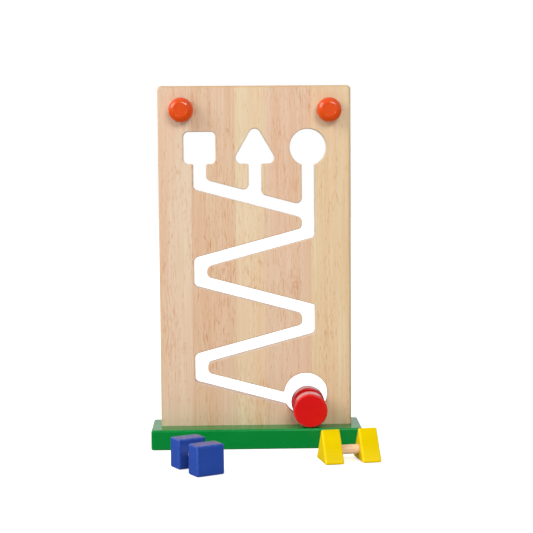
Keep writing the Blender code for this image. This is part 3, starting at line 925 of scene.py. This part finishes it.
class SLIDEBOARD_OT_base(PieceOperator, bpy.types.Operator):
    """Build the lacquered base bar with its groove and countersunk holes"""
    bl_idname = "slide_board.base"
    bl_label = "Base Bar"

    def execute(self, context):
        settings = context.scene.slide_board.lacquer
        low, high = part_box("base_bar")
        place = axes_matrix(RIGHT, -FORWARD, middle_of("base_bar"))
        outside = smoothed_arcs(section_loops("base_bar", place)[0])
        base = rounded_slab("lacquered_base", [outside], high.z - low.z, (settings.base_rounding,), place)
        board_low, board_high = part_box("maze_board")
        groove_floor = board_low.z - SUPPORT
        groove_size = (board_high.x - board_low.x + SUPPORT, board_high.y - board_low.y + SUPPORT,
                       2.0 * (high.z - groove_floor))
        groove = box_cutter(groove_size, Vector((0.0, 0.0, high.z)))
        carve(base, [groove] + [screw_hole_cutter(node) for node in SCREWS])
        paint = lacquer_material("green", settings, RIGHT)
        finish_piece(base, paint, "stand", ["base_bar"])
        return {"FINISHED"}


def screw_sizes(node):
    """A screw's head radius and its lowest and highest points."""
    low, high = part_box(node)
    return (high.x - low.x) / 2.0, low.z, high.z


def screw_spot(node, height):
    middle = middle_of(node)
    return Vector((middle.x, middle.y, height))


def screw_hole_cutter(node):
    """The countersink and the hole that a screw passes through."""
    head, bottom, top = screw_sizes(node)
    wide, narrow = head + SCREW_PLAY, head / 2.0 + SCREW_PLAY
    mouth, seat = -bottom - SCREW_PLAY, bottom + SCREW_PLAY
    outline = [(0.0, mouth), (wide, mouth), (wide, seat), (narrow, seat + wide - narrow), (narrow, top),
               (0.0, top)]
    return turned_piece("cutter", outline, screw_spot(node, 0.0), UP, None, SCREW_SEGMENTS)


class SLIDEBOARD_OT_blocks(PieceOperator, bpy.types.Operator):
    """Build the six lacquered end blocks of the three dumbbells"""
    bl_idname = "slide_board.blocks"
    bl_label = "Dumbbell Blocks"

    def execute(self, context):
        settings = context.scene.slide_board.lacquer
        for colour, nodes in BLOCKS.items():
            axis = level(middle_of(nodes[1]) - middle_of(nodes[0])).normalized()
            grain = axis if colour == "yellow" else UP.cross(axis)
            paint = lacquer_material(colour, settings, grain)
            for node, other in (nodes, nodes[::-1]):
                block = make_block(node, other, colour, settings.rounding)
                finish_piece(block, paint, body_of(colour, blocks=True), [node])
        return {"FINISHED"}


def level(vector):
    return Vector((vector.x, vector.y, 0.0))


def make_block(node, other, colour, rounding):
    """One end block, extruded along the line between it and the dumbbell's other block."""
    centre = middle_of(node)
    apart = level(centre - middle_of(other))
    outward = apart.normalized()
    dowel_centre = middle_of(f"{colour}_dowel")
    radius = size_of(f"{colour}_dowel").z / 2.0
    across = UP.cross(outward)
    thickness = apart.length / 2.0  # the gap is as wide as a block
    middle = Vector((centre.x, centre.y, dowel_centre.z))
    past_bore = outward * thickness / 4.0
    loops = section_loops(node, axes_matrix(across, UP, middle + past_bore))
    outline = smoothed_arcs(loops[0])
    place = axes_matrix(across, UP, middle)
    block = rounded_slab(f"{node}_lacquered", [outline], thickness, (rounding,), place)
    mouth = middle - outward * thickness / 2.0
    depth = dowel_half_length(colour, outward) - (mouth - dowel_centre).length + SUPPORT
    carve(block, [cylinder_cutter(radius + PIN_PLAY, 2.0 * depth, axes_matrix(across, UP, mouth))])
    return block


def dowel_half_length(colour, axis):
    """Half a dowel's length, from its points' spread along its axis."""
    node = f"{colour}_dowel"
    centre = middle_of(node)
    return max((vertex.co - centre).dot(axis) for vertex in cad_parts[node].data.vertices)


class SLIDEBOARD_OT_dowels(PieceOperator, bpy.types.Operator):
    """Turn the three dowels and the two knob pins"""
    bl_idname = "slide_board.dowels"
    bl_label = "Dowels and Pins"

    def execute(self, context):
        settings = context.scene.slide_board
        for colour, (first, second) in BLOCKS.items():
            axis = level(middle_of(second) - middle_of(first)).normalized()
            make_rod(f"{colour}_dowel", axis, dowel_half_length(colour, axis), body_of(colour), settings)
        for side in SIDES:
            node = f"{side}_knob_pin"
            make_rod(node, FORWARD, size_of(node).y / 2.0, "stand", settings)
        return {"FINISHED"}


def make_rod(node, axis, half, body, settings):
    """A chamfered rod that reaches half its length each way along an axis."""
    radius = size_of(node).z / 2.0
    flat = radius - settings.turned.dowel_chamfer
    side = half - settings.turned.dowel_chamfer
    upper = [(radius, side), (flat, half), (flat - SUPPORT, half), (0.0, half)]
    outline = [(out, -along) for out, along in reversed(upper)] + upper
    wood = dowel_material(f"{node}_wood", settings.turned.dowel_colour, settings.board.pore_colour, axis)
    rod = turned_piece(f"{node}_turned", outline, middle_of(node), axis, wood, settings.turned.segments)
    finish_piece(rod, wood, body, [node])


class SLIDEBOARD_OT_knobs(PieceOperator, bpy.types.Operator):
    """Turn the two lacquered knobs"""
    bl_idname = "slide_board.knobs"
    bl_label = "Knobs"

    def execute(self, context):
        settings = context.scene.slide_board
        paint = lacquer_material("orange", settings.lacquer, UP)
        for side in SIDES:
            node = f"{side}_knob"
            size = size_of(node)
            outline = knob_outline(size.x / 2.0, size.y, settings.turned)
            back = middle_of(node) - FORWARD * size.y / 2.0
            knob = turned_piece(f"{node}_turned", outline, back, FORWARD, paint, settings.turned.segments)
            carve(knob, [pin_cutter(side)])
            finish_piece(knob, paint, "stand", [node])
        return {"FINISHED"}


KNOB_ARC_STEPS = 8
BEAD_TURN_IN = -math.radians(50.0)


def knob_outline(radius, length, settings):
    """A knob's side from its back: a small round, a straight cheek, two arcs, a bead and a flat face."""
    back, brow, cheek, bead = (settings.knob_back, settings.knob_brow, settings.knob_cheek,
                               settings.knob_bead)
    brow_tilt, rim_tilt = settings.knob_brow_tilt, settings.knob_rim_tilt
    cheek_rise = cheek * math.cos(brow_tilt)
    cheek_start = length - brow * (math.cos(rim_tilt) - math.cos(brow_tilt)) - cheek_rise
    brow_foot = radius - cheek * (1.0 - math.sin(brow_tilt))
    rim = brow_foot - brow * (math.sin(brow_tilt) - math.sin(rim_tilt))
    brow_centre = (brow_foot - brow * math.sin(brow_tilt),
                   cheek_start + cheek_rise - brow * math.cos(brow_tilt))
    points = [(0.0, 0.0), (radius - back - SUPPORT, 0.0)]
    points += arc((radius - back, back), back, 2.0 * QUARTER, QUARTER, ROUND_STEPS)
    points += arc((radius - cheek, cheek_start), cheek, QUARTER, brow_tilt, KNOB_ARC_STEPS)
    points += arc(brow_centre, brow, brow_tilt, rim_tilt, KNOB_ARC_STEPS)[1:-1]
    points += arc((rim - bead * math.sin(rim_tilt), length - bead), bead, rim_tilt, BEAD_TURN_IN,
                  ROUND_STEPS)
    inner, floor = points[-1]
    return points + [(inner - SUPPORT, floor), (0.0, floor)]


def arc(centre, radius, first, last, steps):
    """Points of (radius, height) on an arc, by the tilt of its surface from facing straight up."""
    out, up = centre
    tilts = [first + (last - first) * step / steps for step in range(steps + 1)]
    return [(out + radius * math.sin(tilt), up + radius * math.cos(tilt)) for tilt in tilts]


SCREW_SEGMENTS = 48


class SLIDEBOARD_OT_screws(PieceOperator, bpy.types.Operator):
    """Build the four countersunk screws under the base bar"""
    bl_idname = "slide_board.screws"
    bl_label = "Screws"

    def execute(self, context):
        settings = context.scene.slide_board.screws
        head, bottom, top = screw_sizes(SCREWS[0])
        length = top - bottom
        shank = head / 2.0
        core = shank - settings.thread
        tip = 2.0 * shank
        plain = 2.0 * head  # the shank has no thread below this
        thread_start, thread_end = plain + settings.pitch, length - tip
        outline = [(0.0, 0.0), (head - SUPPORT, 0.0), (head, SUPPORT), (shank, head - shank + SUPPORT),
                   (shank, plain), (core, plain + settings.thread), (core, thread_end), (0.0, length)]
        places = bpy.data.meshes.new("screw_places")
        places.from_pydata([screw_spot(node, bottom) for node in SCREWS], [], [])
        marks = linked_object("screw_places", places)
        steel = steel_material()
        screws = run_tree(outline_object("countersunk_screws", outline), "countersunk_screws", {
            "Points": len(outline), "Segments": SCREW_SEGMENTS, "Places": marks, "Shank Radius": core,
            "Thread Start": thread_start, "Thread Length": thread_end - thread_start,
            "Pitch": settings.pitch, "Thread Height": settings.thread,
            "Cross Width": settings.cross_width, "Cross Span": settings.cross_span,
            "Cross Depth": settings.cross_depth, "Finish": steel})
        bpy.data.objects.remove(marks)
        finish_piece(screws, steel, "stand", SCREWS)
        return {"FINISHED"}


SOFTBOXES = {  # the place and the size of each
    "key": ((3.24, -9.00, 6.23), (5.76, 3.78)),
    "side": ((-8.19, -3.60, 5.60), (6.84, 5.76)),
}
SOFTBOX_AIM = Vector((0.0, 0.0, 0.2))


class SLIDEBOARD_OT_stage(PieceOperator, bpy.types.Operator):
    """Set a plain white floor, white surroundings, two softboxes and the camera"""
    bl_idname = "slide_board.stage"
    bl_label = "Stage"

    def execute(self, context):
        settings = context.scene.slide_board.stage
        make_floor()
        make_surroundings(settings)
        make_softbox("key", settings.key_power)
        make_softbox("side", settings.side_power)
        make_camera(settings)
        context.scene.view_settings.view_transform = "Standard"
        return {"FINISHED"}


FLOOR_REACH = 6.0
FLOOR_DROP = 0.0001  # keeps the floor just clear of the toy's flat underside
FLOOR_SEEN, FLOOR_BOUNCE = (0.93, 0.93, 0.93, 1.0), (0.66, 0.66, 0.66, 1.0)
FLOOR_GLOW = 0.5


def make_floor():
    """A white floor that glows to the camera, is greyer to the light that bounces, and isn't mirrored."""
    work = bmesh.new()
    bmesh.ops.create_grid(work, x_segments=1, y_segments=1, size=FLOOR_REACH)
    floor = mesh_object(work, "floor")
    floor.location.z = -FLOOR_DROP
    made, tree, shader = new_material("pale_floor")
    seen = add(tree, "ShaderNodeLightPath").outputs["Is Camera Ray"]
    send(tree, shader, {"Base Color": blended(tree, seen, FLOOR_BOUNCE, FLOOR_SEEN),
                        "Emission Strength": maths(tree, "MULTIPLY", seen, FLOOR_GLOW)})
    shader.inputs["Emission Color"].default_value = WHITE
    shader.inputs["Roughness"].default_value = 0.9
    shader.inputs["Specular IOR Level"].default_value = 0.1
    floor.data.materials.append(made)
    floor.visible_glossy = False


LEFT_LEAN, BACK_LEAN = 1.1, 0.8
GLOW_BAND = (-0.3, 0.5)  # where the surroundings turn from their front to their back strength
HORIZON = 0.05


def make_surroundings(settings):
    """White to the camera. It lights brightly from behind and the left, and gloss sees it dark below."""
    world = bpy.data.worlds.new("white_surroundings")
    world.use_nodes = True
    tree = world.node_tree
    background = tree.nodes["Background"]
    background.inputs["Color"].default_value = WHITE
    direction = add(tree, "ShaderNodeSeparateXYZ", {0: add(tree, "ShaderNodeTexCoord").outputs["Generated"]})
    rays = add(tree, "ShaderNodeLightPath")
    leftward = maths(tree, "MULTIPLY", direction.outputs["X"], -LEFT_LEAN)
    lean = maths(tree, "ADD", leftward, maths(tree, "MULTIPLY", direction.outputs["Y"], BACK_LEAN))
    glow = spread(tree, lean, *GLOW_BAND, settings.front_glow, settings.back_glow)
    mirrored = spread(tree, direction.outputs["Y"], *GLOW_BAND, settings.front_gloss, settings.back_gloss)
    above = spread(tree, direction.outputs["Z"], -HORIZON, HORIZON, settings.low_gloss, 1.0)
    gloss = maths(tree, "MULTIPLY", mirrored, above)
    lighting = spread(tree, rays.outputs["Is Glossy Ray"], 0.0, 1.0, glow, gloss)
    strength = spread(tree, rays.outputs["Is Camera Ray"], 0.0, 1.0, lighting, 1.0)
    tree.links.new(strength, background.inputs["Strength"])
    bpy.context.scene.world = world


def make_softbox(side, power):
    place, size = SOFTBOXES[side]
    lamp = bpy.data.lights.new(f"{side}_softbox", "AREA")
    lamp.shape = "RECTANGLE"
    lamp.size, lamp.size_y = size
    lamp.energy = power
    made = bpy.data.objects.new(f"{side}_softbox", lamp)
    made.location = place
    made.visible_camera = False
    made.rotation_euler = (SOFTBOX_AIM - Vector(place)).to_track_quat("-Z", "Y").to_euler()
    bpy.context.scene.collection.objects.link(made)


def make_camera(settings):
    data = bpy.data.cameras.new("camera")
    data.lens = settings.lens
    camera = bpy.data.objects.new("camera", data)
    turn = (Matrix.Rotation(-settings.yaw, 4, "Z") @ Matrix.Rotation(QUARTER - settings.pitch, 4, "X")
            @ Matrix.Rotation(-settings.roll, 4, "Z"))
    camera.matrix_world = Matrix.Translation(settings.camera_place) @ turn
    bpy.context.scene.collection.objects.link(camera)
    bpy.context.scene.camera = camera


OPERATORS = (
    SLIDEBOARD_OT_effects, SLIDEBOARD_OT_board, SLIDEBOARD_OT_base, SLIDEBOARD_OT_blocks,
    SLIDEBOARD_OT_dowels, SLIDEBOARD_OT_knobs, SLIDEBOARD_OT_screws, SLIDEBOARD_OT_stage,
)


class SLIDEBOARD_PT_panel(bpy.types.Panel):
    """Builds each piece and shows the sizes and colours"""
    bl_idname = "SLIDEBOARD_PT_panel"
    bl_label = "Slide Board"
    bl_space_type = "VIEW_3D"
    bl_region_type = "UI"
    bl_category = "Slide Board"

    def draw(self, context):
        settings = context.scene.slide_board
        for operator in OPERATORS:
            self.layout.operator(operator.bl_idname)
        for part in ("board", "lacquer", "turned", "screws", "stage"):
            box = self.layout.box()
            box.label(text=part.capitalize())
            group = getattr(settings, part)
            for name in group.__annotations__:
                box.prop(group, name)


CLASSES = (BoardSettings, LacquerSettings, TurnedSettings, ScrewSettings, StageSettings,
           SlideBoardSettings, *OPERATORS, SLIDEBOARD_PT_panel)


def register():
    for item in CLASSES:
        bpy.utils.register_class(item)
    bpy.types.Scene.slide_board = PointerProperty(type=SlideBoardSettings)


def unregister():
    del bpy.types.Scene.slide_board
    for item in reversed(CLASSES):
        bpy.utils.unregister_class(item)


def main():
    register()
    for operator in OPERATORS:
        call = getattr(bpy.ops.slide_board, operator.bl_idname.split(".")[1])
        call()


if __name__ == "__main__":
    main()
